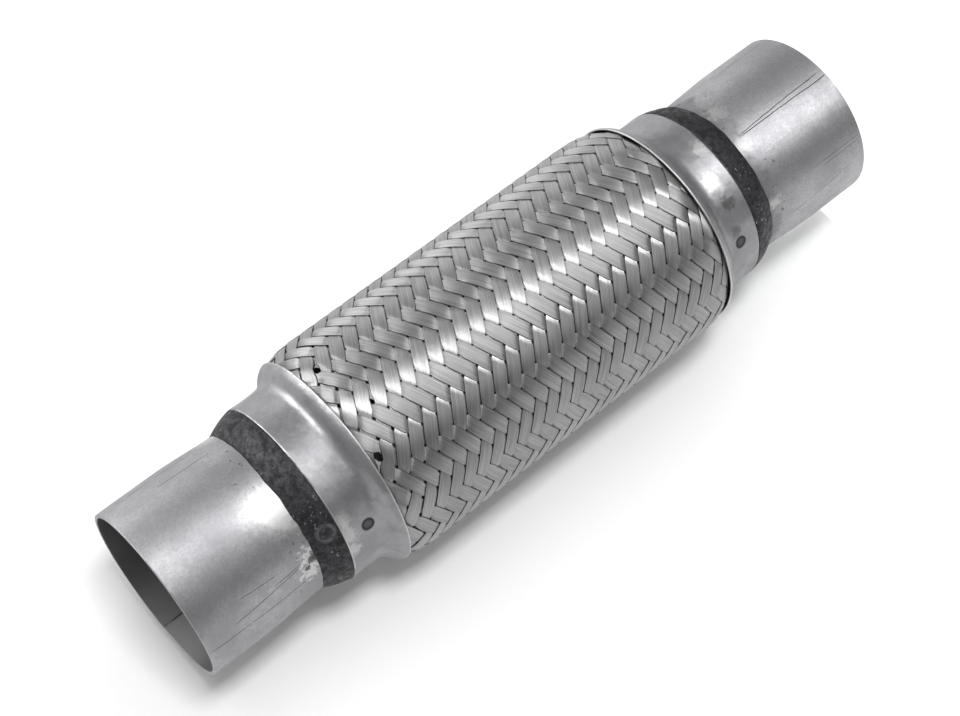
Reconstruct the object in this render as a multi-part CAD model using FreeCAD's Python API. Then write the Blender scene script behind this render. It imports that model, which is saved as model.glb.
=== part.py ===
import FreeCAD, Part
import math
import os

# Exhaust flex pipe standing on one stub, with +Z up its axis.
# A pleated bellows carries the gas, a plain liner shields it inside and a woven wire braid holds it
# from outside. At each end the three sit in a stamped cap round the narrowed neck of a tube stub,
# and one weld runs round all their edges. Both ends are alike, so each is drawn from its own face.

# Driving dimensions, in millimetres and degrees. "Reach" is a distance from the pipe's end face.
OVERALL_LENGTH = 304.8
PIPE_BORE_RADIUS = 31.75
TUBE_WALL = 1.5
NECK_NARROWING = 1.35
TAPER_REACH = 28.0
STACK_REACH = 57.0
NECK_OVERLAP = 9.0
WELD_LENGTH = 10.3
WELD_BULGE = 0.4

LINER_WALL = 1.2
BELLOWS_WALL = 0.5
BRAID_CUFF_WALL = 0.8
CAP_WALL = 1.2

CAP_NECK_LENGTH = 12.0
CAP_SWEEP_LENGTH = 4.0
CAP_SWEEP_RISE = 1.7
CAP_FLARE_LENGTH = 2.6
CAP_FLARE_RISE = 3.4
CAP_LIP_LENGTH = 1.7
CAP_LIP_RISE = 0.6

BRAID_CROWN_RADIUS = 42.8
BRAID_WALL = 1.3
BRAID_RELIEF = 0.9
BRAID_CAP_CLEARANCE = 0.4
BRAID_DOME_LENGTH = 11.0
BUNDLE_PAIRS = 12
BRAID_ANGLE = 61.3
BRAID_TURN = 4.3
GAP_SHARE = 0.16
ROWS_PER_GAP = 4

FOLD_COUNT = 10
FOLD_CLEARANCE = 0.4
ROOT_CLEARANCE = 0.7

# Radii of the layers in the neck, from the gas outward. Each layer seats on the one inside it.
# All but the stubs are rings of flats, whose corners stand on the braid's columns. The flats of the
# liner, the bellows and the braid's inside are two columns wide, those of caps and welds one.
stub_radius = PIPE_BORE_RADIUS + TUBE_WALL
neck_radius = stub_radius - NECK_NARROWING
liner_radius = neck_radius + LINER_WALL
bellows_cuff_radius = liner_radius + BELLOWS_WALL
columns = 4 * BUNDLE_PAIRS
flat_share = math.cos(2 * math.pi / columns)
cap_bore_radius = bellows_cuff_radius / flat_share + BRAID_CUFF_WALL
cap_neck_radius = cap_bore_radius + CAP_WALL
lip_bore_radius = cap_bore_radius + CAP_SWEEP_RISE + CAP_FLARE_RISE + CAP_LIP_RISE

# Reaches along each end.
stub_length = STACK_REACH + NECK_OVERLAP
weld_reach = STACK_REACH - WELD_LENGTH
cap_neck_reach = STACK_REACH + CAP_NECK_LENGTH
cap_sweep_reach = cap_neck_reach + CAP_SWEEP_LENGTH
cap_flare_reach = cap_sweep_reach + CAP_FLARE_LENGTH
cap_reach = cap_flare_reach + CAP_LIP_LENGTH

os.makedirs("parts", exist_ok=True)


def outline_edge(start, end):
    """Straight edge. A slanting one is a first-degree spline, which meshes far lighter than a cone."""
    if start.x == end.x or start.z == end.z:
        return Part.makeLine(start, end)
    return Part.BSplineCurve([start, end], None, None, False, 1, None, False).toShape()


def revolved(outline):
    """Solid of revolution about the pipe's axis from closed outline points (radius, height)."""
    corners = [FreeCAD.Vector(radius, 0, height) for radius, height in outline]
    edges = [outline_edge(start, end) for start, end in zip(corners, corners[1:] + corners[:1])]
    section = Part.Face(Part.Wire(edges))
    return section.revolve(FreeCAD.Vector(), FreeCAD.Vector(0, 0, 1), 360)


def at_other_end(shape):
    """The same piece for the other end of the pipe, mirrored in the level of the pipe's middle."""
    return shape.mirror(FreeCAD.Vector(0, 0, OVERALL_LENGTH / 2), FreeCAD.Vector(0, 0, 1))


def around(radius, angle, height):
    """Point at a radius, an angle about the axis in degrees, and a height."""
    turn = math.radians(angle)
    return FreeCAD.Vector(radius * math.cos(turn), radius * math.sin(turn), height)


def column_point(radius, column, height):
    """Point on one of the braid's columns, which stand evenly round the axis."""
    return around(radius, BRAID_TURN + 360 * column / columns, height)


def belts(profile, flat_width=2):
    """Flat four-sided facets between neighbouring points (corner radius, height) of a profile.

    Each facet is as many columns wide as flat_width says. A profile that runs upward faces away
    from the axis, and one that runs downward faces it.
    """
    polygons = []
    for (radius, height), (next_radius, next_height) in zip(profile, profile[1:]):
        for column in range(0, columns, flat_width):
            polygons.append([
                column_point(radius, column, height),
                column_point(radius, column + flat_width, height),
                column_point(next_radius, column + flat_width, next_height),
                column_point(next_radius, column, next_height),
            ])
    return polygons


def faceted(polygons):
    """Solid bounded by flat polygons, each a list of points seen anticlockwise from outside."""
    faces = [Part.Face(Part.makePolygon(corners + corners[:1])) for corners in polygons]
    sewn = Part.Compound(faces)
    sewn.sewShape()
    return Part.Solid(sewn.Shells[0])


def tube_stub():
    """Plain tube end: straight for a clamp, then tapered to the neck that the layers sit on."""
    outside = [
        (stub_radius, 0),
        (stub_radius, TAPER_REACH),
        (neck_radius, weld_reach),
        (neck_radius, stub_length),
    ]
    inside = [(radius - TUBE_WALL, height) for radius, height in reversed(outside)]
    return revolved(outside + inside)


def end_cap():
    """Stamped cap: a neck that clamps the layers, sweeping out through a flare to a lip."""
    outside = [
        (cap_neck_radius, STACK_REACH),
        (cap_neck_radius, cap_neck_reach),
        (cap_neck_radius + CAP_SWEEP_RISE, cap_sweep_reach),
        (cap_neck_radius + CAP_SWEEP_RISE + CAP_FLARE_RISE, cap_flare_reach),
        (lip_bore_radius + CAP_WALL, cap_reach),
    ]
    inside = [(radius - CAP_WALL, height) for radius, height in reversed(outside)]
    return faceted(belts(outside + inside + outside[:1], flat_width=1))


def neck_weld():
    """Weld bead: from the stub's neck up over the flush edges of liner, bellows, braid and cap."""
    inner_radius = neck_radius / math.cos(math.pi / columns)
    middle_radius = (inner_radius + cap_neck_radius) / 2 + WELD_BULGE
    section = [
        (inner_radius, weld_reach),
        (middle_radius, (weld_reach + STACK_REACH) / 2),
        (cap_neck_radius, STACK_REACH),
        (inner_radius, STACK_REACH),
    ]
    return faceted(belts(section + section[:1], flat_width=1))


def inner_liner():
    """Liner tube, slipped over both stub necks and running the whole flexible length."""
    top = OVERALL_LENGTH - STACK_REACH
    inside = neck_radius / flat_share
    outside = liner_radius / flat_share
    ring = [(inside, STACK_REACH), (outside, STACK_REACH), (outside, top), (inside, top)]
    return faceted(belts(ring + ring[:1]))


def bellows():
    """Pleated tube with a plain cuff at each end.

    The outer line zigzags between roots clear of the liner and crests clear of the braid. The
    inner line is the same zigzag, moved in by the wall as measured across a slanting pleat.
    """
    cuff_outside = bellows_cuff_radius / flat_share
    cuff_inside = liner_radius / flat_share
    crest = braid_bore(OVERALL_LENGTH / 2) - FOLD_CLEARANCE
    root = cuff_inside + ROOT_CLEARANCE
    first_crest = cap_reach + BRAID_DOME_LENGTH
    half_fold = (OVERALL_LENGTH / 2 - first_crest) / (FOLD_COUNT - 1)
    slant_wall = BELLOWS_WALL * math.hypot(half_fold, crest - root) / half_fold
    outside = [(cuff_outside, STACK_REACH), (cuff_outside, first_crest - half_fold)]
    inside = [(cuff_inside, STACK_REACH), (cuff_inside, first_crest - half_fold)]
    for turn in range(2 * FOLD_COUNT - 1):
        height = first_crest + turn * half_fold
        is_crest = turn % 2 == 0
        outside.append((crest if is_crest else root + slant_wall, height))
        inside.append((crest - slant_wall if is_crest else root, height))
    outside += [(cuff_outside, OVERALL_LENGTH - height) for _, height in reversed(outside[:2])]
    inside += [(cuff_inside, OVERALL_LENGTH - height) for _, height in reversed(inside[:2])]
    return faceted(belts(outside + inside[::-1] + outside[:1]))


# The braid's bundles cross in diamonds. The diamonds' corners lie where column and level are both
# even or both odd. A level is half a row.
woven_start = cap_flare_reach
column_spacing = 2 * math.pi * BRAID_CROWN_RADIUS / columns
row_pitch = 2 * column_spacing / math.tan(math.radians(BRAID_ANGLE))
rows = round((OVERALL_LENGTH - 2 * woven_start) / row_pitch)
last_level = 2 * rows
level_height = (OVERALL_LENGTH - 2 * woven_start) / last_level
straight_start = cap_reach + BRAID_DOME_LENGTH
lip_contact_radius = lip_bore_radius - BRAID_CAP_CLEARANCE

# Steps from corner to corner round one float, anticlockwise from its left tip, as (across, up).
FALLING_FLOAT = [(1, -1), (1, -1), (1, 1), (-1, 1), (-1, 1), (-1, -1)]
RISING_FLOAT = [(1, -1), (1, 1), (1, 1), (-1, 1), (-1, -1), (-1, -1)]

# Directions from a gap's middle to its four corners, anticlockwise, as (across, up).
GAP_CORNERS = [(1, 1), (-1, 1), (-1, -1), (1, -1)]


def braid_radius(height):
    """Radius over the bundles: a parabola from the cap's lip up to the straight middle."""
    reach = min(height, OVERALL_LENGTH - height)
    short = max(0, 1 - (reach - cap_reach) / BRAID_DOME_LENGTH)
    return BRAID_CROWN_RADIUS - (BRAID_CROWN_RADIUS - lip_contact_radius) * short ** 2


def braid_bore(height):
    """Corner radius of the braid's inner surface."""
    return braid_radius(height) - BRAID_RELIEF - BRAID_WALL


def level(number):
    """Height of a level of the weave."""
    return woven_start + number * level_height


def has_gap(column, number):
    """True at the corners that stay open: every second valley's, in every few rows of the middle."""
    centre = rows + 1 - rows % 2
    in_ring = (number - centre) % (2 * ROWS_PER_GAP) == 0
    reach = min(level(number), OVERALL_LENGTH - level(number))
    return in_ring and column % 4 == 3 and reach > straight_start


def corner(column, number):
    """Sunk corner where floats meet."""
    height = level(number)
    return column_point(braid_radius(height) - BRAID_RELIEF, column, height)


def gap_corner(column, number, way):
    """Corner of the open gap that takes the place of a sunk corner."""
    return corner(column + way[0] * GAP_SHARE, number + way[1] * GAP_SHARE)


def flat_point(column, number, way):
    """Inner end of a gap's corner, on the flat inner facet behind the gap."""
    height = level(number + way[1] * GAP_SHARE)
    turn = 2 * math.pi * GAP_SHARE / columns
    flat_radius = braid_bore(height) * flat_share / math.cos(turn)
    return column_point(flat_radius, column + way[0] * GAP_SHARE, height)


def float_facets(column, number):
    """One bundle where it floats over two others: facets that rise from its rim to its middle.

    The rim runs through six corners, and goes round the near side of a corner's gap. Floats
    that the ends of the weave cut keep the corners within it.
    """
    steps = FALLING_FLOAT if column % 4 == 0 else RISING_FLOAT
    middle_level = level(number + steps[1][1] / 2)
    rim = []
    across, up = column, number
    for before, after in zip(steps[-1:] + steps[:-1], steps):
        if has_gap(across, up):
            way = (-before[0], -before[1])
            rim.append(gap_corner(across, up, way))
            while way != after:
                way = (way[1], -way[0])
                rim.append(gap_corner(across, up, way))
        elif 0 <= up <= last_level:
            rim.append(corner(across, up))
        across += after[0]
        up += after[1]
    if len(rim) == 3:
        return [rim]
    middle = column_point(braid_radius(middle_level), column + 1.5, middle_level)
    return [[middle, start, end] for start, end in zip(rim, rim[1:] + rim[:1])]


def gap_facets(column, number, low, high):
    """Four walls of a gap, and the flat inner facet round it from one height to another."""
    outer = [gap_corner(column, number, way) for way in GAP_CORNERS]
    inner = [flat_point(column, number, way) for way in GAP_CORNERS]
    frame = inner_flat(column, low, high)
    facets = []
    for place in range(4):
        following = (place + 1) % 4
        facets.append([outer[place], outer[following], inner[following], inner[place]])
        facets.append([inner[place], inner[following], frame[following], frame[place]])
    return facets


def inner_flat(column, low, high):
    """Corners of the flat inner facet behind a column: from the upper right, towards the axis."""
    return [
        column_point(braid_bore(high), column + 1, high),
        column_point(braid_bore(high), column - 1, high),
        column_point(braid_bore(low), column - 1, low),
        column_point(braid_bore(low), column + 1, low),
    ]


def braid():
    """Woven sleeve as one wall: ridged floats outside, flat facets inside and open gaps."""
    facets = []
    for column in range(0, columns, 2):
        for number in range(0, last_level + 1, 2):
            facets += float_facets(column, number)

    outer_end = [
        (cap_bore_radius, STACK_REACH),
        (cap_bore_radius, cap_neck_reach),
        (cap_bore_radius + CAP_SWEEP_RISE - BRAID_CAP_CLEARANCE, cap_sweep_reach),
    ]
    inner_end = [(radius - BRAID_CUFF_WALL, reach) for radius, reach in outer_end]
    outer_end.append((braid_radius(woven_start) - BRAID_RELIEF, woven_start))
    dome_reaches = [woven_start, cap_reach + BRAID_DOME_LENGTH / 2, straight_start]
    inner_end += [(braid_bore(reach), reach) for reach in dome_reaches]
    far_outer = [(radius, OVERALL_LENGTH - reach) for radius, reach in outer_end]
    far_inner = [(radius, OVERALL_LENGTH - reach) for radius, reach in inner_end]
    facets += belts(inner_end[::-1] + outer_end)
    facets += belts(far_outer[::-1] + far_inner)

    gap_levels = [number for number in range(last_level) if has_gap(3, number)]
    between_gaps = [(number + following) / 2 for number, following in zip(gap_levels, gap_levels[1:])]
    heights = [straight_start, *map(level, between_gaps), OVERALL_LENGTH - straight_start]
    for low, high, number in zip(heights, heights[1:], gap_levels):
        for column in range(1, columns, 2):
            if has_gap(column, number):
                facets += gap_facets(column, number, low, high)
            else:
                facets.append(inner_flat(column, low, high)[::-1])
    return faceted(facets)


lower_pieces = {"stub": tube_stub(), "cap": end_cap(), "neck_weld": neck_weld()}
nodes = {"inner_liner": inner_liner(), "bellows": bellows(), "braid": braid()}
for name, piece in lower_pieces.items():
    nodes["lower_" + name] = piece
    nodes["upper_" + name] = at_other_end(piece)

for name, shape in nodes.items():
    shape.exportStep(f"parts/{name}.step")
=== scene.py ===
import math

import bpy
import numpy as np
from mathutils import Matrix, Quaternion, Vector


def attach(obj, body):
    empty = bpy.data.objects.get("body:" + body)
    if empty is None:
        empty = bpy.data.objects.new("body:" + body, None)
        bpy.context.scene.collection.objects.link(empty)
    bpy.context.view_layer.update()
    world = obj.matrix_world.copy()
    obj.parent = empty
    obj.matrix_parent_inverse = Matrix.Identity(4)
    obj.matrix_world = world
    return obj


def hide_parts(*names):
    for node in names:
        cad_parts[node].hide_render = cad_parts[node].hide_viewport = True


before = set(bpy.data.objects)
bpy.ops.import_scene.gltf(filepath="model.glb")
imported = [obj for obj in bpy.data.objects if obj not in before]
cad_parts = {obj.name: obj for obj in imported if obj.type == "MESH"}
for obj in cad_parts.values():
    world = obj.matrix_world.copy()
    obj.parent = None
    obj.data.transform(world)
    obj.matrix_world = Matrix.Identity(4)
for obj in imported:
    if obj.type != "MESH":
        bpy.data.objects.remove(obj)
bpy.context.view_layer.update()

# Camera
# It stands in front of the pipe and above its middle, and is rolled so that the standing pipe lies
# across the picture, with its top end near and to the lower left.
camera_place = Vector((0.0, -0.69225, 0.39717))
camera_right = Vector((-0.59693, -0.25883, -0.75940))
camera_up = Vector((0.80229, -0.19027, -0.56579))
camera_back = Vector((0.00195, -0.94700, 0.32124))
camera_lens = 76.78
sensor_width = 36.0

camera = bpy.data.objects.new("camera", bpy.data.cameras.new("camera"))
camera.data.lens = camera_lens
camera.data.sensor_width = sensor_width
turned = Matrix((camera_right, camera_up, camera_back)).transposed().to_4x4()
camera.matrix_world = Matrix.Translation(camera_place) @ turned
bpy.context.scene.collection.objects.link(camera)
bpy.context.scene.camera = camera
bpy.context.scene.view_settings.view_transform = "Standard"

# Studio
# A pale floor that the pipe stands on, and the pale table that it lies against in the photograph.
# Both catch its shadow only, and the camera sees them nearly white. Seven softboxes show in the
# metal, and three lamps that don't show there light the table and so shape the shadow on it.
floor_reach = 4.0
table_azimuth = math.radians(-66.6)
table_distance = 0.0430
table_reach = 2.5
even_reflection = 0.3
dim_level = 0.16
dim_until = -0.75
surround_level = 0.34
surround_from = 0.1
far_end_spread = math.radians(16.0)


def grey(level):
    """Colour with equal red, green and blue."""
    return (level, level, level, 1.0)


def add_node(tree, kind, settings=None, **inputs):
    """Node of a kind, with its settings, and with its inputs set to values or linked to sockets."""
    made = tree.nodes.new(kind)
    for name, value in (settings or {}).items():
        setattr(made, name, value)
    for name, value in inputs.items():
        socket = made.inputs[name.replace("_", " ")]
        if isinstance(value, bpy.types.NodeSocket):
            tree.links.new(value, socket)
        else:
            socket.default_value = value
    return made


def maths(tree, operation, *values):
    """Output of a Math node for one to three values or sockets."""
    made = tree.nodes.new("ShaderNodeMath")
    made.operation = operation
    for socket, value in zip(made.inputs, values):
        if isinstance(value, bpy.types.NodeSocket):
            tree.links.new(value, socket)
        else:
            socket.default_value = value
    return made.outputs[0]


def ramp(tree, value, low, high, start=0.0, end=1.0):
    """Output that runs smoothly from start to end as a value goes from low to high."""
    made = add_node(
        tree, "ShaderNodeMapRange", {"interpolation_type": "SMOOTHSTEP"},
        From_Min=low, From_Max=high, To_Min=start, To_Max=end,
    )
    tree.links.new(value, made.inputs["Value"])
    return made.outputs["Result"]


def mix_shaders(tree, share, first, second):
    """Output of a Mix Shader node that goes from a first shader to a second as share goes to 1."""
    made = add_node(tree, "ShaderNodeMixShader", Fac=share)
    tree.links.new(first, made.inputs[1])
    tree.links.new(second, made.inputs[2])
    return made.outputs[0]


def pale_surface(name, paint_level, shadow_share, glow_level, metal_share):
    """White stage material that shows a share of the shadows on it, and nothing from behind.

    The metal reflects metal_share of it, and an even dim glow in place of the rest.
    """
    material = bpy.data.materials.new(name)
    material.use_nodes = True
    tree = material.node_tree
    tree.nodes.clear()
    path = tree.nodes.new("ShaderNodeLightPath").outputs
    seen = maths(tree, "MAXIMUM", path["Is Camera Ray"], path["Is Glossy Ray"])
    seen = maths(tree, "MAXIMUM", seen, path["Is Transmission Ray"])
    glow_share = maths(tree, "MULTIPLY", seen, 1.0 - shadow_share)
    even_share = maths(tree, "MULTIPLY", path["Is Glossy Ray"], 1.0 - metal_share)
    paint = add_node(tree, "ShaderNodeBsdfDiffuse", Color=grey(paint_level)).outputs[0]
    glow = add_node(tree, "ShaderNodeEmission", Color=grey(1.0), Strength=glow_level).outputs[0]
    even = add_node(tree, "ShaderNodeEmission", Color=grey(1.0), Strength=even_reflection).outputs[0]
    clear = tree.nodes.new("ShaderNodeBsdfTransparent").outputs[0]
    behind = tree.nodes.new("ShaderNodeNewGeometry").outputs["Backfacing"]
    lit = mix_shaders(tree, glow_share, paint, glow)
    reflected = mix_shaders(tree, even_share, lit, even)
    output = tree.nodes.new("ShaderNodeOutputMaterial")
    tree.links.new(mix_shaders(tree, behind, reflected, clear), output.inputs["Surface"])
    return material


def stage_sheet(name, corners, material):
    """Flat four-cornered stage surface that only catches shadows: it shades nothing itself."""
    mesh = bpy.data.meshes.new(name)
    mesh.from_pydata(corners, [], [(0, 1, 2, 3)])
    mesh.materials.append(material)
    made = bpy.data.objects.new(name, mesh)
    made.visible_shadow = False
    made.visible_diffuse = False
    bpy.context.scene.collection.objects.link(made)
    return made


floor_paint = pale_surface(
    "pale floor", paint_level=0.92, shadow_share=0.25, glow_level=1.5, metal_share=1.0)
floor = stage_sheet("floor", [
    (-floor_reach, -floor_reach, 0.0),
    (floor_reach, -floor_reach, 0.0),
    (floor_reach, floor_reach, 0.0),
    (-floor_reach, floor_reach, 0.0),
], floor_paint)
floor.visible_glossy = False

table_paint = pale_surface(
    "pale table", paint_level=0.98, shadow_share=0.95, glow_level=1.2, metal_share=0.55)
table_normal = Vector((math.cos(table_azimuth), math.sin(table_azimuth), 0.0))
table_side = Vector((-table_normal.y, table_normal.x, 0.0)) * table_reach
table_middle = -table_normal * table_distance
table_rise = Vector((0.0, 0.0, table_reach))
stage_sheet("table", [
    table_middle - table_side - table_rise,
    table_middle + table_side - table_rise,
    table_middle + table_side + table_rise,
    table_middle - table_side + table_rise,
], table_paint)


def add_softbox(name, azimuth, height, width, tall, power, distance=0.9, lean=0.0, in_metal=True):
    """Area lamp that stands round the pipe at an azimuth, faces its axis and leans sideways.

    It either shows in the metal and leaves the stage alone, or lights the stage alone. Azimuth and
    lean are in degrees, the other sizes in metres and the power in watts.
    """
    lamp = bpy.data.lights.new(name, "AREA")
    lamp.shape = "RECTANGLE"
    lamp.size = width
    lamp.size_y = tall
    lamp.energy = power
    made = bpy.data.objects.new(name, lamp)
    turn = math.radians(azimuth)
    outward = Vector((math.cos(turn), math.sin(turn), 0.0))
    made.location = outward * distance + Vector((0.0, 0.0, height))
    leaning = Quaternion((0.0, 0.0, 1.0), math.radians(lean))
    made.rotation_euler = (outward.to_track_quat("Z", "Y") @ leaning).to_euler()
    made.visible_camera = False
    made.visible_glossy = in_metal
    made.visible_diffuse = not in_metal
    bpy.context.scene.collection.objects.link(made)
    return lamp


add_softbox("key softbox", -79.0, height=-0.155, width=0.32, tall=1.2, power=3.6, lean=-30.0)
add_softbox("key softbox end", -84.0, height=-0.32, width=0.70, tall=0.32, power=1.3, distance=0.88)
add_softbox("fill softbox", 20.0, height=0.0, width=0.68, tall=1.4, power=1.95)
add_softbox("side softbox", 0.0, height=0.60, width=0.34, tall=0.26, power=2.2)
add_softbox("high softbox", -40.0, height=0.74, width=0.35, tall=0.30, power=2.8)
add_softbox("front softbox", -89.0, height=0.54, width=0.20, tall=0.25, power=0.7)
add_softbox("far side softbox", -160.0, height=-0.15, width=0.28, tall=0.75, power=0.45)
add_softbox(
    "table key", -77.5, height=0.15, width=0.40, tall=0.5, power=23.0, distance=2.0, in_metal=False)
add_softbox(
    "table sky", -50.0, height=0.1, width=1.5, tall=2.0, power=14.0, distance=2.0, in_metal=False)
far_end_lamp = add_softbox(
    "far end lamp", -102.0, height=-0.05, width=0.2, tall=0.15, power=0.06, distance=0.8,
    in_metal=False)
far_end_lamp.spread = far_end_spread

# The surroundings that show in the metal are grey, and dimmer on the -X side.
world = bpy.data.worlds.new("studio")
world.use_nodes = True
bpy.context.scene.world = world
sky = world.node_tree
direction = sky.nodes.new("ShaderNodeTexCoord").outputs["Generated"]
compass = add_node(sky, "ShaderNodeSeparateXYZ", Vector=direction).outputs
sideways = ramp(sky, compass["X"], dim_until, surround_from, dim_level, surround_level)
sight = sky.nodes.new("ShaderNodeLightPath").outputs["Is Camera Ray"]
level = add_node(sky, "ShaderNodeMix", Factor=sight, A=sideways, B=1.0)
sky.links.new(level.outputs[0], sky.nodes["Background"].inputs["Color"])

# Tube stubs
# Each end is a short tube of aluminised steel, narrowed to the neck that the layers sit on. The
# sheet was rolled round and seam welded, and is satin grey with handling scratches along it.
pipe_length = 304.8
tube_outside = 33.25
tube_bore = 31.75
neck_outside = 31.9
neck_bore = 30.4
neck_flare = 0.05
mouth_rounding = 0.35
shoulder_rounding = 9.0
throat_rounding = 6.0
neck_rounding = 0.3
clamp_length = 28.0
neck_start = 45.0
stub_length = 66.0
ring_steps = 256
inner_seam_azimuth = 109.8
seam_blur = 0.006
seam_width = 0.0005
scuff_radius = 32.6
scuff_strength = 0.85
scratch_strength = 0.85
weld_start = 46.7
stub_steel_colour = (0.58, 0.58, 0.595, 1.0)
stub_cloud_colour = (0.45, 0.45, 0.47, 1.0)
stub_grain_colour = (0.34, 0.34, 0.36, 1.0)
stub_blotch_colour = (0.42, 0.42, 0.44, 1.0)
soot_colour = (0.13, 0.13, 0.14, 1.0)
scratch_colour = (0.06, 0.06, 0.065, 1.0)
inside_shade_colour = grey(0.19)
inside_shade_past_seam = grey(0.26)
seam_colour = grey(0.05)


def softened(corners, steps=7):
    """Closed profile with rounded corners, as rows of radius and height.

    Each corner is (radius, height, reach). Its rounding is the parabola that leaves the two sides
    a reach away from the corner: (1-t)^2 before + 2t(1-t) corner + t^2 after.
    """
    given = np.array(corners, float)
    points = given[:, :2]
    reach = given[:, 2:3]
    to_last = np.roll(points, 1, axis=0) - points
    to_next = np.roll(points, -1, axis=0) - points
    before = points + to_last / np.linalg.norm(to_last, axis=1, keepdims=True) * reach
    after = points + to_next / np.linalg.norm(to_next, axis=1, keepdims=True) * reach
    t = np.linspace(0.0, 1.0, steps)[None, :, None]
    curve = (1 - t) ** 2 * before[:, None] + 2 * t * (1 - t) * points[:, None] + t ** 2 * after[:, None]
    return curve.reshape(-1, 2)


def grid_piece(name, points, wrap_across=True):
    """Mesh object, in metres, of a grid of points in millimetres whose rows close on themselves.

    Rows run round the grid's first direction, and always close. Points run along the second, and
    close too where wrap_across is true; where it is false, a face closes each end. Several grids
    may be stacked as a fourth, leading axis.
    """
    grids = points.reshape(-1, *points.shape[-3:])
    rows, columns = grids.shape[1:3]
    index = np.arange(rows * columns).reshape(rows, columns)
    index = np.concatenate([index, index[:1]])
    if wrap_across:
        index = np.concatenate([index, index[:, :1]], axis=1)
    quads = np.stack([index[:-1, :-1], index[:-1, 1:], index[1:, 1:], index[1:, :-1]], axis=-1)
    starts = np.arange(len(grids))[:, None, None] * rows * columns
    faces = (quads.reshape(1, -1, 4) + starts).reshape(-1, 4).tolist()
    if not wrap_across:
        ends = np.stack([index[:-1, 0], index[-2::-1, -1]])
        faces += (ends[None] + starts).reshape(-1, rows).tolist()
    mesh = bpy.data.meshes.new(name)
    mesh.from_pydata(grids.reshape(-1, 3) / 1000.0, [], faces)
    mesh.shade_smooth()
    made = bpy.data.objects.new(name, mesh)
    bpy.context.scene.collection.objects.link(made)
    return made


def turned_piece(name, profile, far_end=False, steps=ring_steps):
    """Piece of revolution about the pipe's axis; far_end mirrors it to the pipe's top end.

    The profile runs up its outer side and down its inner side, so the faces point outwards.
    """
    radius, height = profile[:, 0], profile[:, 1]
    if far_end:
        radius, height = radius[::-1], pipe_length - height[::-1]
    turn = np.linspace(0.0, 2 * math.pi, steps, endpoint=False)
    x = radius[:, None] * np.cos(turn)
    y = radius[:, None] * np.sin(turn)
    z = np.broadcast_to(height[:, None], x.shape)
    return grid_piece(name, np.stack([x, y, z], axis=-1))


def fit_piece(piece, material, node):
    """Gives a piece its material, and puts it in the place of a node of the plain model."""
    piece.data.materials.append(material)
    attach(piece, "root")
    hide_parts(node)


def new_group(name, inputs, outputs):
    """Empty shader node group; inputs are (name, kind, value), and outputs are (name, kind)."""
    group = bpy.data.node_groups.new(name, "ShaderNodeTree")
    for label, kind, value in inputs:
        socket = group.interface.new_socket(label, in_out="INPUT", socket_type="NodeSocket" + kind)
        if value is not None:
            socket.default_value = value
    for label, kind in outputs:
        group.interface.new_socket(label, in_out="OUTPUT", socket_type="NodeSocket" + kind)
    entry = group.nodes.new("NodeGroupInput").outputs
    leave = group.nodes.new("NodeGroupOutput").inputs
    return group, entry, leave


def use_group(tree, group, **inputs):
    """Group placed in a material, with its inputs set or linked. Gives back its outputs."""
    made = add_node(tree, "ShaderNodeGroup", {"node_tree": group}, **inputs)
    return made.outputs


def noise(tree, place, scale, detail, roughness=0.5):
    """Output of a Noise Texture node, which varies about 0.5."""
    made = add_node(
        tree, "ShaderNodeTexNoise", Vector=place, Scale=scale, Detail=detail, Roughness=roughness)
    return made.outputs[0]


def weighted_sum(tree, start, *parts):
    """Output of start plus share * value for each part, which is (share, value)."""
    total = start
    for share, value in parts:
        total = maths(tree, "MULTIPLY_ADD", value, share, total)
    return total


def rolled_finish():
    """Group for rolled sheet: slow clouds, fine grain and faint lines along the pipe's axis."""
    group, entry, leave = new_group(
        "rolled finish",
        [("Vector", "Vector", None), ("Cloud Scale", "Float", 60.0), ("Grain Scale", "Float", 900.0)],
        [("Cloud", "Float"), ("Grain", "Float"), ("Lines", "Float")],
    )
    cloud = noise(group, entry["Vector"], entry["Cloud Scale"], 5.0, 0.6)
    grain = noise(group, entry["Vector"], entry["Grain Scale"], 3.0, 0.7)
    drawn = add_node(group, "ShaderNodeMapping", Vector=entry["Vector"], Scale=(1.0, 1.0, 0.04))
    group.links.new(cloud, leave["Cloud"])
    group.links.new(grain, leave["Grain"])
    group.links.new(noise(group, drawn.outputs[0], 1400.0, 2.0), leave["Lines"])
    return group


rolled_group = rolled_finish()


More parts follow.
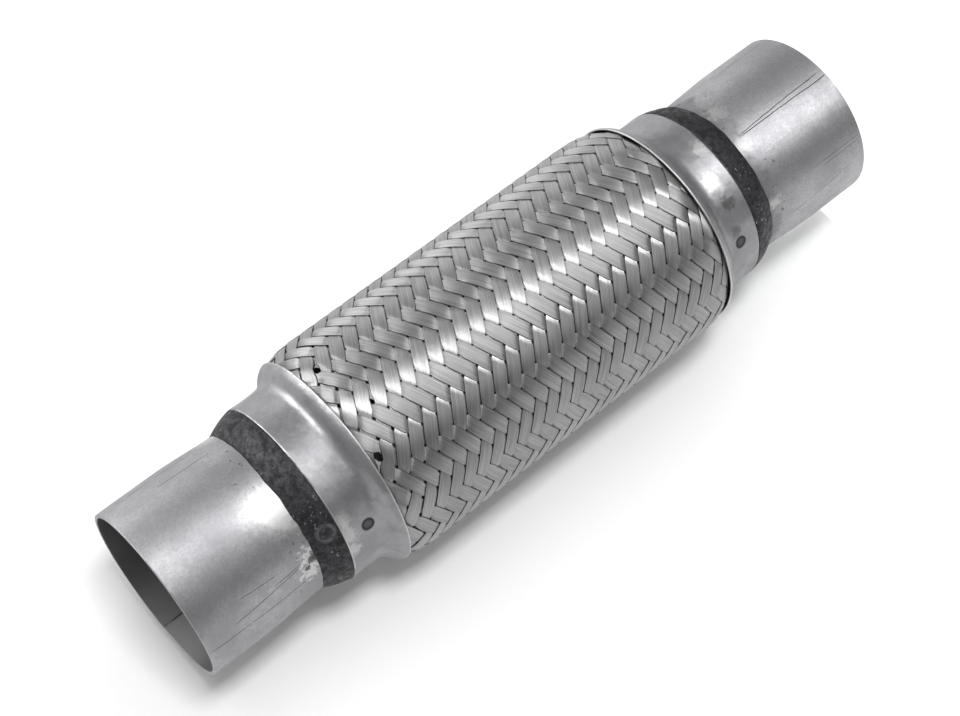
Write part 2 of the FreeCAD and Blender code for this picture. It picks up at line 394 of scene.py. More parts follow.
def line_mark():
    """Group for a thin line along the pipe at an azimuth, which may drift by degrees a metre.

    It wanders a little to each side, and breaks off here and there.
    """
    group, entry, leave = new_group(
        "line mark",
        [
            ("Vector", "Vector", None), ("Azimuth", "Float", 0.0), ("Drift", "Float", 0.0),
            ("From", "Float", 0.0), ("To", "Float", 0.1), ("Width", "Float", 0.0004),
        ],
        [("Mask", "Float")],
    )
    place = add_node(group, "ShaderNodeSeparateXYZ", Vector=entry["Vector"]).outputs
    flat = add_node(group, "ShaderNodeCombineXYZ", X=place["X"], Y=place["Y"])
    radius = add_node(group, "ShaderNodeVectorMath", {"operation": "LENGTH"}, Vector=flat.outputs[0])
    angle = maths(group, "ARCTAN2", place["Y"], place["X"])
    wander = noise(group, entry["Vector"], 90.0, 4.0)
    shift = maths(group, "MULTIPLY", maths(group, "SUBTRACT", wander, 0.5), 0.0009)
    after_start = maths(group, "SUBTRACT", place["Z"], entry["From"])
    drifted = maths(group, "MULTIPLY_ADD", after_start, entry["Drift"], entry["Azimuth"])
    away = maths(group, "SUBTRACT", angle, maths(group, "RADIANS", drifted))
    away = maths(group, "MULTIPLY", away, radius.outputs["Value"])
    away = maths(group, "ABSOLUTE", maths(group, "ADD", away, shift))
    near = ramp(group, maths(group, "DIVIDE", away, entry["Width"]), 0.3, 1.0, 1.0, 0.0)
    start = ramp(group, after_start, -0.0005, 0.0005)
    stop = ramp(group, maths(group, "SUBTRACT", entry["To"], place["Z"]), -0.001, 0.002)
    broken = ramp(group, wander, 0.34, 0.44)
    mask = maths(group, "MULTIPLY", maths(group, "MULTIPLY", near, start), stop)
    group.links.new(maths(group, "MULTIPLY", mask, broken), leave["Mask"])
    return group


line_group = line_mark()


def scuff():
    """Group for a round scuffed patch: 1 less distance / reach, plus noise, with a soft edge."""
    group, entry, leave = new_group(
        "scuff",
        [
            ("Vector", "Vector", None), ("Centre", "Vector", None), ("Reach", "Float", 0.005),
            ("Ragged", "Float", 1.5), ("Soft", "Float", 0.2),
        ],
        [("Mask", "Float")],
    )
    apart = add_node(group, "ShaderNodeVectorMath", {"operation": "DISTANCE"})
    group.links.new(entry["Vector"], apart.inputs[0])
    group.links.new(entry["Centre"], apart.inputs[1])
    uneven = maths(group, "SUBTRACT", noise(group, entry["Vector"], 480.0, 5.0, 0.7), 0.5)
    uneven = maths(group, "MULTIPLY_ADD", uneven, entry["Ragged"], 1.0)
    share = maths(group, "DIVIDE", apart.outputs["Value"], entry["Reach"])
    edge = maths(group, "SUBTRACT", uneven, share)
    low = maths(group, "SUBTRACT", 0.3, entry["Soft"])
    high = maths(group, "ADD", 0.3, entry["Soft"])
    group.links.new(ramp(group, edge, low, high), leave["Mask"])
    return group


scuff_group = scuff()


def on_surface(azimuth, height, radius):
    """Point in metres on the pipe at an azimuth in degrees, from a height and radius in mm."""
    turn = math.radians(azimuth)
    return (radius * math.cos(turn) / 1000, radius * math.sin(turn) / 1000, height / 1000)


def metal_material(name, colour, roughness):
    """Bare metal material with a Principled shader. Gives back material, tree, shader and place."""
    material = bpy.data.materials.new(name)
    material.use_nodes = True
    tree = material.node_tree
    shader = tree.nodes["Principled BSDF"]
    shader.inputs["Base Color"].default_value = colour
    shader.inputs["Metallic"].default_value = 1.0
    shader.inputs["Roughness"].default_value = roughness
    place = tree.nodes.new("ShaderNodeTexCoord").outputs["Object"]
    return material, tree, shader, place


def tinted(tree, colour, other, mask):
    """Colour mixed towards another by a mask."""
    mix = add_node(tree, "ShaderNodeMix", {"data_type": "RGBA"})
    tree.links.new(mask, mix.inputs["Factor"])
    for socket, value in ((mix.inputs[6], colour), (mix.inputs[7], other)):
        if isinstance(value, bpy.types.NodeSocket):
            tree.links.new(value, socket)
        else:
            socket.default_value = value
    return mix.outputs[2]


def scuffed(tree, place, colour, centre, reach, tone, ragged, soft, strength):
    """Colour with a round scuffed patch of another tone, whose reach is in millimetres."""
    patch = use_group(
        tree, scuff_group,
        Vector=place, Centre=centre, Reach=reach / 1000, Ragged=ragged, Soft=soft,
    )
    return tinted(tree, colour, grey(tone), maths(tree, "MULTIPLY", patch["Mask"], strength))


def bump_up(tree, shader, relief, distance, strength):
    """Gives a shader the bumps of a relief, each unit of which stands a distance high."""
    bump = add_node(tree, "ShaderNodeBump", Height=relief, Distance=distance, Strength=strength)
    tree.links.new(bump.outputs[0], shader.inputs["Normal"])


def inward_face(tree, place):
    """Mask of the faces that look towards the pipe's axis."""
    flat = add_node(tree, "ShaderNodeVectorMath", {"operation": "MULTIPLY"})
    tree.links.new(place, flat.inputs[0])
    flat.inputs[1].default_value = (1.0, 1.0, 0.0)
    facing = add_node(tree, "ShaderNodeVectorMath", {"operation": "DOT_PRODUCT"})
    tree.links.new(flat.outputs[0], facing.inputs[0])
    tree.links.new(tree.nodes.new("ShaderNodeNewGeometry").outputs["Normal"], facing.inputs[1])
    return ramp(tree, facing.outputs["Value"], -0.02, -0.005, 1.0, 0.0)


def weld_dirt(tree, place, blotch, weld_height, away, soot_share):
    """Masks of the ragged soot and of the small pits beside a weld, which fade away from it."""
    height = add_node(tree, "ShaderNodeSeparateXYZ", Vector=place).outputs["Z"]
    distance = maths(tree, "SUBTRACT", height, weld_height / 1000)
    distance = maths(tree, "MULTIPLY", distance, away)
    ragged = weighted_sum(tree, distance, (0.022, maths(tree, "SUBTRACT", blotch, 0.5)))
    soot = ramp(tree, ragged, 0.0, 0.007, soot_share, 0.0)
    pit = ramp(tree, noise(tree, place, 620.0, 2.0), 0.66, 0.70)
    beside_weld = ramp(tree, distance, 0.006, 0.014, 0.8, 0.0)
    return soot, maths(tree, "MULTIPLY", pit, beside_weld)


def line_marks(tree, place, marks):
    """Mask of all the thin lines along the tube, each (azimuth, drift, from, to, width)."""
    mask = 0.0
    for azimuth, drift, start, end, width in marks:
        line = use_group(
            tree, line_group,
            Vector=place, Azimuth=azimuth, Drift=drift, From=start, To=end, Width=width,
        )
        mask = maths(tree, "MAXIMUM", mask, line["Mask"])
    return mask


def inside_shade(tree, place):
    """Painted shade on the tube's inside: a dull dark colour, which changes at the dark line of the
    sheet's seam.
    """
    axes = add_node(tree, "ShaderNodeSeparateXYZ", Vector=place).outputs
    angle = maths(tree, "ARCTAN2", axes["Y"], axes["X"])
    seam = math.radians(inner_seam_azimuth)
    past_seam = ramp(tree, angle, seam - seam_blur, seam + seam_blur)
    shaded_inside = tinted(tree, inside_shade_colour, inside_shade_past_seam, past_seam)
    seam_line = line_marks(tree, place, [(inner_seam_azimuth, 0.0, -1.0, 1.0, seam_width)])
    return tinted(tree, shaded_inside, seam_colour, seam_line)


def stub_steel(name, weld_height, away, soot_share, marks, scuffs):
    """Aluminised sheet: clouds, grain, drawn lines, pits, soot near the weld, marks and scuffs.

    The weld's height is in millimetres, and the sign away is 1 where the tube lies above it and -1
    where it lies below. Each mark is (azimuth, drift, from, to, width) in degrees, degrees a metre
    and metres. Each scuff is (azimuth, height, reach, tone, ragged, soft) in degrees and mm.
    """
    material, tree, shader, place = metal_material(name, stub_steel_colour, 0.36)
    finish = use_group(tree, rolled_group, Vector=place, Cloud_Scale=45.0, Grain_Scale=1100.0)
    cloud = ramp(tree, finish["Cloud"], 0.35, 0.7)
    grain = ramp(tree, finish["Grain"], 0.35, 0.7, 0.0, 0.5)
    blotch = noise(tree, place, 160.0, 6.0, 0.7)
    colour = tinted(tree, stub_steel_colour, stub_cloud_colour, cloud)
    colour = tinted(tree, colour, stub_grain_colour, grain)
    colour = tinted(tree, colour, stub_blotch_colour, ramp(tree, blotch, 0.48, 0.62, 0.0, 0.6))
    soot, pits = weld_dirt(tree, place, blotch, weld_height, away, soot_share)
    colour = tinted(tree, colour, soot_colour, maths(tree, "MAXIMUM", soot, pits))
    for azimuth, height, reach, tone, ragged, soft in scuffs:
        centre = on_surface(azimuth, height, scuff_radius)
        colour = scuffed(tree, place, colour, centre, reach, tone, ragged, soft, scuff_strength)
    lines = line_marks(tree, place, marks)
    colour = tinted(tree, colour, scratch_colour, maths(tree, "MULTIPLY", lines, scratch_strength))
    # Painted shade darkens the faces inside the tube.
    inside = inward_face(tree, place)
    colour = tinted(tree, colour, inside_shade(tree, place), inside)
    tree.links.new(colour, shader.inputs["Base Color"])
    rough = weighted_sum(
        tree, 0.22, (0.22, finish["Cloud"]), (0.12, finish["Grain"]), (0.10, blotch), (0.2, soot),
        (0.1, inside),
    )
    tree.links.new(rough, shader.inputs["Roughness"])
    relief = weighted_sum(tree, finish["Lines"], (1.4, finish["Grain"]), (4.0, blotch), (-3.0, lines))
    bump_up(tree, shader, relief, distance=0.00003, strength=0.8)
    return material


stub_profile = softened([
    (tube_outside, 0.0, mouth_rounding),
    (tube_outside, clamp_length, shoulder_rounding),
    (neck_outside + neck_flare, neck_start, throat_rounding),
    (neck_outside, stub_length, neck_rounding),
    (neck_bore, stub_length, neck_rounding),
    (neck_bore + neck_flare, neck_start, throat_rounding),
    (tube_bore, clamp_length, shoulder_rounding),
    (tube_bore, 0.0, mouth_rounding),
])
lower_marks = [
    (-78.9, 19.0, 0.0004, 0.043, 0.00022), (-74.4, -62.0, 0.0026, 0.043, 0.0002),
    (-123.9, 0.0, 0.0012, 0.027, 0.0002), (-126.9, 0.0, 0.002, 0.020, 0.00018),
    (-140.6, -210.0, 0.008, 0.037, 0.0002), (-24.0, 0.0, 0.004, 0.025, 0.0002),
]
lower_scuffs = [
    (-54.6, 42.0, 5.0, 0.68, 2.5, 0.5), (-128.6, 44.2, 3.5, 0.72, 2.5, 0.4),
    (-84.0, 44.5, 4.0, 0.72, 1.5, 0.7), (-27.9, 41.9, 3.0, 0.28, 1.5, 0.5),
]
upper_marks = [
    (-144.3, 57.0, 0.2624, 0.3043, 0.00022), (-131.1, -135.0, 0.2640, 0.2924, 0.0002),
    (-129.8, 0.0, 0.2640, 0.2742, 0.0002), (-124.4, 180.0, 0.2735, 0.2877, 0.0002),
    (-19.0, 0.0, 0.266, 0.299, 0.0002), (-33.0, 0.0, 0.265, 0.286, 0.0002),
]
upper_scuffs = [
    (-90.0, 261.5, 9.0, 0.95, 1.6, 0.75), (-98.0, 260.5, 7.0, 0.95, 2.0, 0.6),
    (-12.0, 260.0, 6.0, 0.8, 1.5, 0.6), (-127.5, 260.5, 4.2, 0.85, 3.6, 0.15),
    (-138.0, 261.0, 5.4, 0.8, 3.6, 0.15), (-131.5, 258.9, 3.0, 0.06, 3.0, 0.2),
    (-136.0, 262.0, 1.6, 0.08, 2.5, 0.2),
]
fit_piece(
    turned_piece("lower_tube_stub", stub_profile),
    stub_steel("lower stub steel", weld_start, -1.0, 0.45, lower_marks, lower_scuffs),
    "lower_stub")
fit_piece(
    turned_piece("upper_tube_stub", stub_profile, far_end=True),
    stub_steel(
        "upper stub steel", pipe_length - weld_start, 1.0, 0.1, upper_marks, upper_scuffs),
    "upper_stub")

# Inner liner
# A strip of steel wound in interlocking turns into a tube, slipped over both necks. It keeps the
# hot gas off the bellows and shows only down the bore.
layers_start = 57.0
hidden_ring_steps = 96
liner_rows = 320
liner_outside = 32.9
liner_bulge = 0.1
liner_wall = 0.9
liner_pitch = 9.0
liner_groove = 0.35
wound_start = 68.0
wound_ease = 4.0


def wound_liner():
    """Tube whose wall steps in and out along a helix.

    Its radius is outside + bulge + half groove * a squared-off sine of (turn + height / pitch), and
    eases to the plain outside at the necks.
    """
    heights = np.linspace(layers_start, pipe_length - layers_start, liner_rows)
    turn = np.linspace(0.0, 2 * math.pi, hidden_ring_steps, endpoint=False)
    phase = turn[None, :] + 2 * math.pi * heights[:, None] / liner_pitch
    step = liner_groove * np.tanh(3 * np.sin(phase)) / 2
    from_end = np.minimum(heights, pipe_length - heights)[:, None]
    free = np.clip((from_end - wound_start) / wound_ease, 0.0, 1.0)
    outside = liner_outside + (liner_bulge + step) * free
    inside = outside - liner_wall
    radius = np.concatenate([outside, inside[::-1]])
    height = np.concatenate([heights, heights[::-1]])[:, None]
    points = np.stack([radius * np.cos(turn), radius * np.sin(turn), height + 0.0 * radius], axis=-1)
    return grid_piece("wound_liner", points)


def dark_steel(name, colour, roughness):
    """Plain steel that only shows inside: clouds and grain, a little dull."""
    material, tree, shader, place = metal_material(name, colour, roughness)
    finish = use_group(tree, rolled_group, Vector=place, Cloud_Scale=60.0, Grain_Scale=900.0)
    darker = tuple(0.6 * value for value in colour[:3]) + (1.0,)
    shade = tinted(tree, colour, darker, ramp(tree, finish["Cloud"], 0.35, 0.7))
    tree.links.new(shade, shader.inputs["Base Color"])
    rough = weighted_sum(tree, roughness - 0.12, (0.25, finish["Grain"]))
    tree.links.new(rough, shader.inputs["Roughness"])
    bump_up(tree, shader, finish["Grain"], distance=0.00005, strength=0.5)
    return material


fit_piece(
    wound_liner(), dark_steel("liner steel", (0.38, 0.38, 0.39, 1.0), 0.45),
    "inner_liner")

# Bellows
# The gas-tight tube: thin steel pressed into pleats that let the pipe bend and stretch, with a
# plain cuff at each end under the braid.
bellows_wall = 0.5
bellows_rows = 400
bellows_cuff = 33.55
bellows_root = 34.3
bellows_crest = 39.6
first_crest = 88.3
half_pleat = 7.1
pleat_spacings = 9
eased_rows = 9


def pleated_bellows():
    """Tube with round pleats between two plain cuffs.

    Its radius is the root's plus the pleat's height * (half + half cosine(height)), eased over a
    few rows.
    """
    heights = np.linspace(layers_start, pipe_length - layers_start, bellows_rows)
    pleated_length = pipe_length - 2 * first_crest
    wave = 0.5 + 0.5 * np.cos(2 * math.pi * (heights - first_crest) / pleated_length * pleat_spacings)
    from_end = np.minimum(heights, pipe_length - heights)
    pleated = bellows_root + (bellows_crest - bellows_root) * wave
    radius = np.where(from_end > first_crest - half_pleat, pleated, bellows_cuff)
    padded = np.pad(radius, eased_rows // 2, mode="edge")
    eased = np.convolve(padded, np.ones(eased_rows) / eased_rows, mode="valid")
    radius = np.concatenate([eased, eased[::-1] - bellows_wall])
    height = np.concatenate([heights, heights[::-1]])
    profile = np.stack([radius, height], axis=-1)
    return turned_piece("pleated_bellows", profile, steps=hidden_ring_steps)


# The bellows is painted dark grey, painted shade, so the gaps in the braid look black.
fit_piece(
    pleated_bellows(), dark_steel("bellows steel", (0.22, 0.22, 0.23, 1.0), 0.45),
    "bellows")

# Woven braid
# Twenty-four flat bundles of fine steel wire run each way round the bellows, each over two and
# under two of the others, so their floats stand in columns like herringbone. It holds the bellows.
bundles_each_way = 24
columns = 2 * bundles_each_way
first_level = -6
last_level = 56
steps_per_level = 6
braid_turn = math.radians(4.3)
weave_start = 76.0
level_height = 3.035
level_run = 6.4
braid_crown = 42.8
weave_depth = 0.25
crown_line = [
    (layers_start, 34.6), (69.0, 34.6), (73.0, 36.0), (75.6, 39.2), (77.3, 40.2), (80.0, 41.5),
    (83.5, 42.4), (88.3, braid_crown), (160.0, braid_crown),
]
depth_line = [(layers_start, 0.05), (71.0, 0.1), (77.3, 0.3), (84.0, weave_depth)]
wire_thickness = 0.42
wires_per_bundle = 10
bundle_share = 0.975
bundle_pinch = 0.18
pinch_sharpness = 14
flat_share = 0.8
dive_sharpness = 5.0
dive_lead = 0.05
first_seed = 100
ribbon_across = np.array([-0.5, -0.475, -0.44, 0.44, 0.475, 0.5, 0.44, -0.44])
ribbon_rise = np.array([0.1, 0.8, 1.0, 1.0, 0.8, 0.1, -0.9, -0.9]) * wire_thickness / 2
slack_from_level = 42.0
slack_full_level = 48.0
end_slack = 0.09
windows = [(-7.0, 48.0, 1.0), (-14.0, 49.0, 1.1), (-17.0, 49.4, 0.7), (-11.0, 46.0, 0.4)]
window_reach = 4.5
groove_shade_colour = grey(0.10)
# The rising wire is a little darker than the falling: painted shade for how light falls on each
# direction.
braid_directions = [("rising", 1, 0.58, 0.38), ("falling", -1, 0.62, 0.36)]


def braid_shape(height):
    """Crown radius and weave depth at a height, from the cuff under the cap to the free middle."""
    reach = np.minimum(height, pipe_length - height)
    crown = np.interp(reach, *zip(*crown_line))
    depth = np.interp(reach, *zip(*depth_line))
    return crown, depth


def opened(u, v):
    """Columns and levels pushed away from each window's centre: apart + push * exp(-apart^2).

    Each window is (column, level, push in mm).
    """
    column_width = 2 * math.pi * braid_crown / columns
    for window_u, window_v, push in windows:
        round_way = (u - window_u + columns / 2) % columns - columns / 2
        side = round_way * column_width
        rise = (v - window_v) * level_height
        apart = np.maximum(np.hypot(side, rise), 1e-6)
        grown = push * np.exp(-(apart / window_reach) ** 2) / apart
        u = u + side * grown / column_width
        v = v + rise * grown / level_height
    return u, v


def bundle_grid(number, slope):
    """Closed ribbon of points for one bundle, and its wires' lay as pairs of run and share across.

    The slope is 1 for rising and -1 for falling: along the bundle, a step of one column is a step
    of slope levels. Across it, points move along the other bundles' direction, so each float ends
    along its neighbours. The radius is the crown less the depth times a squared-off cosine of the
    column, which is 1 on top and -1 below. Bundles are narrower where they dive, and some slacken
    and stray near the pipe's top end. The points run round the ribbon in the order that makes its
    faces point outwards, which depends on the slope.
    """
    chance = np.random.default_rng(first_seed + 2 * number + (slope > 0))
    slack, stray = chance.uniform(0.0, 1.0), chance.uniform(-1.0, 1.0)
    steps = (last_level - first_level) * steps_per_level + 1
    levels = np.linspace(first_level, last_level, steps)[:, None]
    column = 2 * number + slope * levels + 0 * ribbon_across
    float_middle = 1.5 if slope < 0 else 3.5
    beat = np.cos(math.pi / 2 * (column - float_middle))
    loose = np.interp(levels, [slack_from_level, slack_full_level], [0.0, end_slack])
    share = bundle_share - bundle_pinch * (1 - beat ** 2) ** pinch_sharpness - loose * slack
    across = ribbon_across * share + 0.5 * loose * stray
    u, v = opened(column + slope * across, levels - across)
    squared_off = np.tanh(dive_sharpness * (beat + dive_lead))
    wave = flat_share * squared_off + (1 - flat_share) * beat
    height = weave_start + v * level_height
    crown, depth = braid_shape(height)
    radius = crown - wire_thickness / 2 - depth * (1 - wave) + ribbon_rise
    turn = braid_turn + u * 2 * math.pi / columns
    points = np.stack([radius * np.cos(turn), radius * np.sin(turn), height], axis=-1)
    run = levels * level_run / 1000.0 + 0 * ribbon_across
    lay = np.stack([run, ribbon_across + 0.5 + 0 * run], axis=-1)
    outward = slice(None, None, -slope)
    return points.swapaxes(0, 1)[outward], lay.swapaxes(0, 1)[outward]


def wire_lay():
    """Group for a flat bundle: the round wires' height, and a tone that differs from wire to wire."""
    group, entry, leave = new_group(
        "wire lay",
        [("Vector", "Vector", None), ("Wires", "Float", 10.0)],
        [("Height", "Float"), ("Tone", "Float")],
    )
    place = add_node(group, "ShaderNodeSeparateXYZ", Vector=entry["Vector"]).outputs
    wire = maths(group, "MULTIPLY", place["Y"], entry["Wires"])
    inside = maths(group, "SUBTRACT", maths(group, "FRACT", wire), 0.5)
    inside = maths(group, "ABSOLUTE", maths(group, "MULTIPLY", inside, 2.0))
    round_top = maths(group, "SUBTRACT", 1.0, maths(group, "POWER", inside, 2.0))
    along = maths(group, "MULTIPLY", place["X"], 25.0)
    spot = add_node(group, "ShaderNodeCombineXYZ", X=along, Y=maths(group, "FLOOR", wire))
    group.links.new(round_top, leave["Height"])
    group.links.new(noise(group, spot.outputs[0], 1.7, 2.0), leave["Tone"])
    return group


wire_group = wire_lay()


def braid_wire(name, sheen, dullness):
    """Bright drawn stainless wire laid side by side, a little dull with handling.

    The UV map called lay tells it where along its bundle and across it a point is.
    """
    light = grey(sheen)
    dark = grey(0.75 * sheen)
    material, tree, shader, place = metal_material(name, light, dullness)
    lay = tree.nodes.new("ShaderNodeUVMap")
    lay.uv_map = "lay"
    wires = use_group(tree, wire_group, Vector=lay.outputs[0], Wires=float(wires_per_bundle))
    finish = use_group(tree, rolled_group, Vector=place, Cloud_Scale=120.0, Grain_Scale=1500.0)
    colour = tinted(tree, light, dark, ramp(tree, wires["Tone"], 0.3, 0.7))
    # Painted shade: dark in the grooves between the round wires and along each bundle's edges.
    groove_shade = ramp(tree, wires["Height"], 0.0, 0.4, 0.5, 0.0)
    across = add_node(tree, "ShaderNodeSeparateXYZ", Vector=lay.outputs[0]).outputs["Y"]
    from_middle = maths(tree, "ABSOLUTE", maths(tree, "SUBTRACT", across, 0.5))
    edge = ramp(tree, from_middle, 0.455, 0.485, 0.0, 0.9)
    colour = tinted(tree, colour, groove_shade_colour, maths(tree, "MAXIMUM", groove_shade, edge))
    tree.links.new(colour, shader.inputs["Base Color"])
    rough = weighted_sum(tree, dullness, (0.14, finish["Cloud"]))
    tree.links.new(rough, shader.inputs["Roughness"])
    shader.inputs["Anisotropic"].default_value = 0.95
    shader.inputs["Anisotropic Rotation"].default_value = 0.25
    along = add_node(tree, "ShaderNodeTangent", {"direction_type": "UV_MAP", "uv_map": "lay"})
    tree.links.new(along.outputs[0], shader.inputs["Tangent"])
    bump_up(tree, shader, wires["Height"], distance=0.00002, strength=1.0)
    return material


for direction_name, slope, sheen, dullness in braid_directions:
    ribbons = [bundle_grid(number, slope) for number in range(bundles_each_way)]
    grids = np.stack([points for points, lay in ribbons])
    lays = np.stack([lay for points, lay in ribbons]).reshape(-1, 2)
    braid = grid_piece("braid_bundles_" + direction_name, grids, wrap_across=False)
    corners = np.empty(len(braid.data.loops), np.int32)
    braid.data.loops.foreach_get("vertex_index", corners)
    uv = braid.data.uv_layers.new(name="lay")
    uv.data.foreach_set("uv", lays[corners].astype(np.float32).ravel())
    wire_material = braid_wire(direction_name + " braid wire", sheen, dullness)
    fit_piece(braid, wire_material, "braid")

# End caps
# A stamped steel ring at each end. Its neck is pressed onto the three layers and spot welded, and
# its mouth sweeps out to a rolled lip that the braid comes out of.
cap_neck_radius = 36.0
cap_lip_reach = 77.3
spot_depth_radius = 35.7
spot_radius = 0.0028
mottle_strength = 0.75
cap_steel_colour = (0.5, 0.5, 0.515, 1.0)
cap_cloud_colour = (0.38, 0.38, 0.4, 1.0)
cap_grain_colour = (0.3, 0.3, 0.31, 1.0)
cap_blotch_colour = (0.33, 0.33, 0.34, 1.0)
edge_highlight_colour = (0.8, 0.8, 0.81, 1.0)
spot_burn_colour = (0.05, 0.05, 0.055, 1.0)
cap_inside_shade_colour = grey(0.08)
cap_profile = softened([
    (35.9, layers_start, 1.2),
    (35.6, 64.5, 3.6),
    (36.2, 71.7, 2.9),
    (40.6, 74.6, 2.3),
    (41.75, 77.1, 0.4),
    (41.1, 77.35, 0.25),
    (39.6, 75.4, 1.3),
    (35.4, 73.0, 2.2),
    (34.7, 68.0, 2.2),
    (34.7, layers_start, 0.2),
], steps=13)


def spot_weld():
    """Group for a spot weld: a shallow round dent with a dark ring at a centre."""
    group, entry, leave = new_group(
        "spot weld",
        [("Vector", "Vector", None), ("Centre", "Vector", None), ("Radius", "Float", 0.0025)],
        [("Mask", "Float"), ("Height", "Float")],
    )
    apart = add_node(group, "ShaderNodeVectorMath", {"operation": "DISTANCE"})
    group.links.new(entry["Vector"], apart.inputs[0])
    group.links.new(entry["Centre"], apart.inputs[1])
    share = maths(group, "DIVIDE", apart.outputs["Value"], entry["Radius"])
    inside = ramp(group, share, 0.75, 1.0, 1.0, 0.0)
    ring = maths(group, "MULTIPLY", inside, ramp(group, share, 0.3, 0.8, 0.8, 1.0))
    group.links.new(ring, leave["Mask"])
    group.links.new(maths(group, "MULTIPLY", inside, -1.0), leave["Height"])
    return group


spot_group = spot_weld()


def edge_ring(tree, height, edge, near, far):
    """Mask of a thin ring round the pipe at an edge's height, which fades from near to far."""
    apart = maths(tree, "ABSOLUTE", maths(tree, "SUBTRACT", height, edge / 1000))
    return ramp(tree, apart, near, far, 1.0, 0.0)


def cap_steel(name, lip_height, neck_height, spot_azimuth, spot_height, mottle_patches):
    """Satin pressed steel: clouds, dents, painted highlights at the edges, and two spot welds on
    opposite sides.

    Heights are in millimetres. Each mottle patch is (azimuth, height, reach, tone), a round patch
    painted paler or darker: painted highlight and painted shade in a mottle.
    """
    material, tree, shader, place = metal_material(name, cap_steel_colour, 0.36)
    finish = use_group(tree, rolled_group, Vector=place, Cloud_Scale=55.0, Grain_Scale=1000.0)
    cloud = ramp(tree, finish["Cloud"], 0.35, 0.7)
    grain = ramp(tree, finish["Grain"], 0.3, 0.75, 0.0, 0.3)
    blotch = noise(tree, place, 130.0, 6.0, 0.7)
    colour = tinted(tree, cap_steel_colour, cap_cloud_colour, cloud)
    colour = tinted(tree, colour, cap_grain_colour, grain)
    colour = tinted(tree, colour, cap_blotch_colour, ramp(tree, blotch, 0.46, 0.64, 0.0, 0.6))
    height = add_node(tree, "ShaderNodeSeparateXYZ", Vector=place).outputs["Z"]
    # Painted highlight: a thin bright ring at the lip's edge, and a broken one at the neck's edge.
    lip_highlight = edge_ring(tree, height, lip_height, 0.0002, 0.0009)
    colour = tinted(tree, colour, edge_highlight_colour, lip_highlight)
    neck_highlight = edge_ring(tree, height, neck_height, 0.0004, 0.0011)
    neck_highlight = maths(tree, "MULTIPLY", neck_highlight, ramp(tree, cloud, 0.3, 0.6))
    colour = tinted(tree, colour, edge_highlight_colour, neck_highlight)
    # Painted highlight and shade: paler and darker round patches mottle the cap.
    for azimuth, mottle_height, reach, tone in mottle_patches:
        centre = on_surface(azimuth, mottle_height, cap_neck_radius)
        colour = scuffed(tree, place, colour, centre, reach, tone, 2.6, 0.4, mottle_strength)
    dent = noise(tree, place, 75.0, 3.0, 0.55)
    relief = weighted_sum(tree, finish["Grain"], (22.0, dent), (3.0, blotch))
    for opposite in (0.0, 180.0):
        centre = on_surface(spot_azimuth + opposite, spot_height, spot_depth_radius)
        spot = use_group(tree, spot_group, Vector=place, Centre=centre, Radius=spot_radius)
        colour = tinted(tree, colour, spot_burn_colour, spot["Mask"])
        relief = weighted_sum(tree, relief, (8.0, spot["Height"]))
    # Painted shade: the faces that look towards the pipe's axis are near black.
    colour = tinted(tree, colour, cap_inside_shade_colour, inward_face(tree, place))
    tree.links.new(colour, shader.inputs["Base Color"])
    rough = weighted_sum(tree, 0.24, (0.26, finish["Cloud"]), (0.12, blotch))
    tree.links.new(rough, shader.inputs["Roughness"])
    bump_up(tree, shader, relief, distance=0.00004, strength=0.7)
    return material


lower_cap_mottle = [
    (-90.0, 65.0, 4.5, 0.72), (-106.0, 64.5, 3.4, 0.16),
    (-124.0, 66.0, 3.0, 0.2), (-70.0, 60.0, 4.0, 0.7),
]
upper_cap_mottle = [(-119.0, 245.6, 4.0, 0.75), (-129.0, 245.8, 4.6, 0.72), (-140.0, 246.0, 4.0, 0.7)]
lower_cap_steel = cap_steel(
    "lower cap steel", cap_lip_reach, layers_start, -132.0, 65.5, lower_cap_mottle)
upper_cap_steel = cap_steel(
    "upper cap steel", pipe_length - cap_lip_reach, pipe_length - layers_start, -130.7, 237.9,
    upper_cap_mottle)
fit_piece(
    turned_piece("lower_end_cap", cap_profile), lower_cap_steel,
    "lower_cap")
fit_piece(
    turned_piece("upper_end_cap", cap_profile, far_end=True), upper_cap_steel,
    "upper_cap")

# Neck welds
# One weld bead runs round each neck and joins stub, liner, bellows, braid and cap. It is rough,
# dark with scale, and lumpy where the torch stopped and started.
weld_rows = 24
weld_width = 10.5
weld_foot = 31.95
weld_climb = 3.85
weld_curve = 0.9
weld_bulge = 0.55
weld_root = 31.6
root_setback = 0.2
weld_middle_radius = 34.0
lump_waves = range(4, 40)
lump_size = 0.45
lump_lean = 3.0
ragged_waves = 12
ragged_size = 0.12
crater_pitch = 1.7
crater_ripple = 0.3
stop_azimuth = -120.0
stop_height = 252.4
stop_radius = 36.4
stop_ring_outside = 0.0046
stop_ring_inside = 0.0032
lower_craters = [(-28.0, 2.6, 0.3)]
upper_craters = [(stop_azimuth, 3.6, 0.5), (-64.0, 2.0, 0.6)]
weld_colour = (0.06, 0.06, 0.065, 1.0)
scale_colour = (0.095, 0.095, 0.10, 1.0)
dark_scale_colour = (0.04, 0.04, 0.043, 1.0)
speck_colour = (0.45, 0.45, 0.46, 1.0)
stop_ring_colour = (0.2, 0.2, 0.21, 1.0)


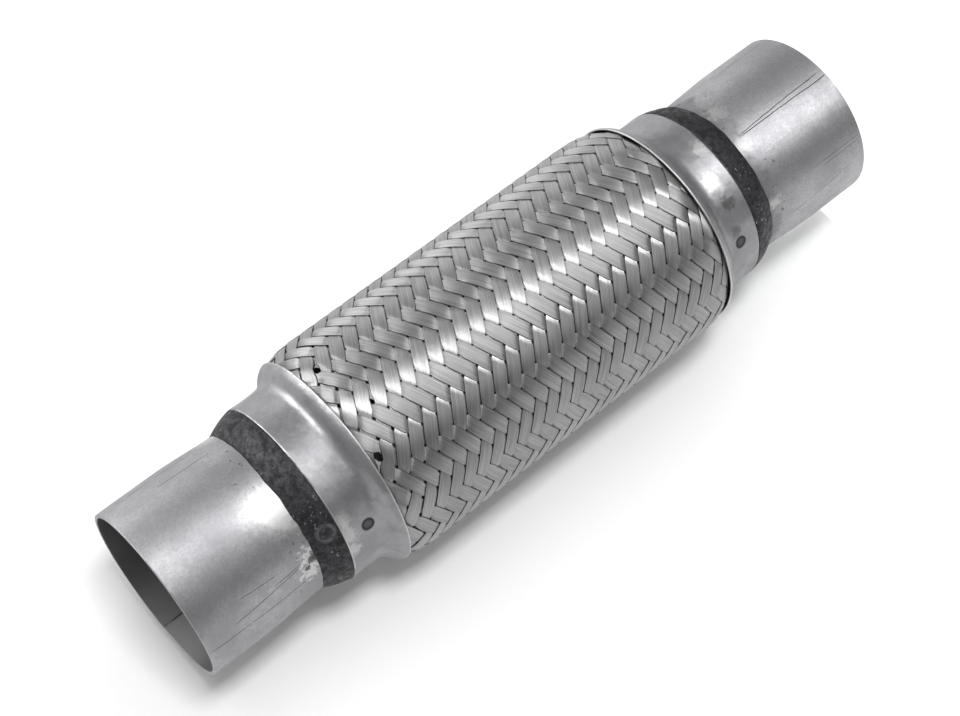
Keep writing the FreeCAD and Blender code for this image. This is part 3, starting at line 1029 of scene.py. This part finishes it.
def weld_bead(name, seed, far_end, craters):
    """Bead whose outer line bulges from neck to cap, with lumps round it.

    The lumps are a sum of waves round the ring, each with its own seeded height and phase. A crater
    is (azimuth, reach along the ring, share of the bead's width), where the weld stopped: rings
    that die out with distance, ripple * cosine(distance) * exp(-distance^2).
    """
    chance = np.random.default_rng(seed)
    along = np.linspace(0.0, 1.0, weld_rows)[:, None]
    turn = np.linspace(0.0, 2 * math.pi, 2 * ring_steps, endpoint=False)
    lumps = np.zeros((weld_rows, len(turn)))
    for wave in lump_waves:
        size = chance.normal(0.0, lump_size / wave)
        phase = chance.uniform(0.0, 2 * math.pi)
        lean = chance.uniform(-lump_lean, lump_lean)
        lumps += size * np.cos(wave * turn + phase + lean * along)
    for azimuth, reach, middle in craters:
        apart_round = (turn - math.radians(azimuth) + math.pi) % (2 * math.pi) - math.pi
        apart = np.hypot(weld_middle_radius * apart_round, weld_width * (along - middle))
        ripple = crater_ripple * np.cos(2 * math.pi * apart / crater_pitch)
        lumps += ripple * np.exp(-(apart / reach) ** 2)
    lumps *= np.sin(math.pi * along) ** 0.5
    edge = chance.uniform(0.0, 2 * math.pi, ragged_waves)
    ragged = sum(
        ragged_size * np.cos((5 + 3 * k) * turn + edge[k]) / (1 + 0.3 * k)
        for k in range(ragged_waves))
    climb = weld_foot + weld_climb * along ** weld_curve
    outer_radius = climb + weld_bulge * np.sin(math.pi * along) + lumps
    outer_height = weld_start + weld_width * along + (1 - along) ** 2 * ragged
    inner_radius = np.full((2, len(turn)), weld_root)
    inner_ends = np.array([[weld_start + weld_width], [weld_start + root_setback]])
    inner_height = inner_ends + 0 * inner_radius
    radius = np.concatenate([outer_radius, inner_radius])
    height = np.concatenate([outer_height, inner_height])
    if far_end:
        radius = radius[::-1]
        height = pipe_length - height[::-1]
    points = np.stack([radius * np.cos(turn), radius * np.sin(turn), height], axis=-1)
    return grid_piece(name, points)


def weld_metal():
    """Scale-covered weld: near black with a rough grain and small bright specks in patches.

    A paler ring lies round the upper weld's stop.
    """
    material, tree, shader, place = metal_material("weld metal", weld_colour, 0.5)
    grain = noise(tree, place, 420.0, 8.0, 0.75)
    colour = tinted(tree, scale_colour, dark_scale_colour, ramp(tree, grain, 0.35, 0.65))
    speck = ramp(tree, noise(tree, place, 900.0, 2.0), 0.63, 0.72)
    patch = ramp(tree, noise(tree, place, 70.0, 3.0), 0.50, 0.62)
    colour = tinted(tree, colour, speck_colour, maths(tree, "MULTIPLY", speck, patch))
    stop = on_surface(stop_azimuth, stop_height, stop_radius)
    outer = use_group(tree, spot_group, Vector=place, Centre=stop, Radius=stop_ring_outside)["Mask"]
    inner = use_group(tree, spot_group, Vector=place, Centre=stop, Radius=stop_ring_inside)["Mask"]
    ring = maths(tree, "SUBTRACT", outer, inner)
    ring = maths(tree, "MULTIPLY", ring, ramp(tree, grain, 0.35, 0.55))
    colour = tinted(tree, colour, stop_ring_colour, maths(tree, "MAXIMUM", ring, 0.0))
    tree.links.new(colour, shader.inputs["Base Color"])
    tree.links.new(ramp(tree, grain, 0.3, 0.7, 0.38, 0.65), shader.inputs["Roughness"])
    bump_up(tree, shader, grain, distance=0.0004, strength=0.7)
    return material


weld_material = weld_metal()
fit_piece(
    weld_bead("lower_weld_bead", 3, False, lower_craters), weld_material,
    "lower_neck_weld")
fit_piece(
    weld_bead("upper_weld_bead", 8, True, upper_craters), weld_material,
    "upper_neck_weld")
